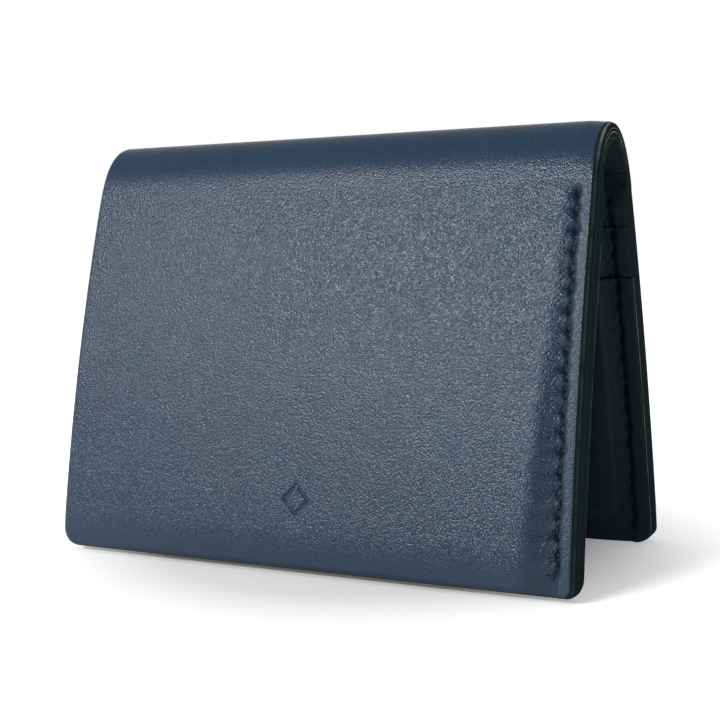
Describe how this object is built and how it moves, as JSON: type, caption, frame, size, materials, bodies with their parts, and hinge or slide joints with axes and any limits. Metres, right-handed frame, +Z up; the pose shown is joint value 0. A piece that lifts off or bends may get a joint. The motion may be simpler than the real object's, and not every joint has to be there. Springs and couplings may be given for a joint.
{
  "type": "bifold card wallet",
  "caption": "Compact leather bifold wallet with card pockets and a note compartment, standing as a tent on its two lower edges.",
  "frame": {"origin": "on the floor, midway between the two feet of the tent and midway along the fold", "axes": "+Z up; +X along the fold, towards the stitched side; +Y from the front panel to the back panel"},
  "size_m": [0.102, 0.0492, 0.0774],
  "materials": {
    "outer_leather": "smooth, fine pebble grain, soft sheen, dark painted edges",
    "lining_leather": "smooth, matte",
    "thread": "waxed, twisted"
  },
  "bodies": {
    "front_panel": {"outer_shell_front": "outer_leather", "liner_front": "lining_leather", "front_pocket_backing": "lining_leather", "front_card_pocket_upper": "lining_leather", "front_card_pocket_lower": "lining_leather", "front_right_seam_thread": "thread", "front_left_seam_thread": "thread"},
    "spine_1": {"outer_shell_spine_1": "outer_leather", "liner_spine_1": "lining_leather"},
    "spine_2": {"outer_shell_spine_2": "outer_leather", "liner_spine_2": "lining_leather"},
    "spine_3": {"outer_shell_spine_3": "outer_leather", "liner_spine_3": "lining_leather"},
    "spine_4": {"outer_shell_spine_4": "outer_leather", "liner_spine_4": "lining_leather"},
    "spine_5": {"outer_shell_spine_5": "outer_leather", "liner_spine_5": "lining_leather"},
    "spine_6": {"outer_shell_spine_6": "outer_leather", "liner_spine_6": "lining_leather"},
    "back_panel": {"outer_shell_back": "outer_leather", "liner_back": "lining_leather", "back_pocket_backing": "lining_leather", "back_card_pocket_upper": "lining_leather", "back_card_pocket_middle": "lining_leather", "back_card_pocket_lower": "lining_leather", "back_right_seam_thread": "thread", "back_left_seam_thread": "thread"}
  },
  "joints": [
    {"name": "fold_front_edge", "type": "hinge", "parent": "front_panel", "child": "spine_1", "pos_m": [0, -0.00877, 0.07042], "axis": [1, 0, 0], "range_deg": [-2.1, 12.86]},
    {"name": "fold_strip_1_2", "type": "hinge", "parent": "spine_1", "child": "spine_2", "pos_m": [0, -0.00704, 0.07403], "axis": [1, 0, 0], "range_deg": [-4.2, 25.71]},
    {"name": "fold_strip_2_3", "type": "hinge", "parent": "spine_2", "child": "spine_3", "pos_m": [0, -0.00391, 0.07653], "axis": [1, 0, 0], "range_deg": [-4.2, 25.71]},
    {"name": "fold_strip_3_4", "type": "hinge", "parent": "spine_3", "child": "spine_4", "pos_m": [0, 0, 0.07742], "axis": [1, 0, 0], "range_deg": [-4.2, 25.71]},
    {"name": "fold_strip_4_5", "type": "hinge", "parent": "spine_4", "child": "spine_5", "pos_m": [0, 0.00391, 0.07653], "axis": [1, 0, 0], "range_deg": [-4.2, 25.71]},
    {"name": "fold_strip_5_6", "type": "hinge", "parent": "spine_5", "child": "spine_6", "pos_m": [0, 0.00704, 0.07403], "axis": [1, 0, 0], "range_deg": [-4.2, 25.71]},
    {"name": "fold_open_close", "type": "hinge", "parent": "spine_6", "child": "back_panel", "pos_m": [0, 0.00877, 0.07042], "axis": [1, 0, 0], "range_deg": [-2.1, 12.86]}
  ],
  "couplings": [
    {"joint": "fold_front_edge", "follows": "fold_open_close", "ratio": 1},
    {"joint": "fold_strip_1_2", "follows": "fold_open_close", "ratio": 2},
    {"joint": "fold_strip_2_3", "follows": "fold_open_close", "ratio": 2},
    {"joint": "fold_strip_3_4", "follows": "fold_open_close", "ratio": 2},
    {"joint": "fold_strip_4_5", "follows": "fold_open_close", "ratio": 2},
    {"joint": "fold_strip_5_6", "follows": "fold_open_close", "ratio": 2}
  ]
}
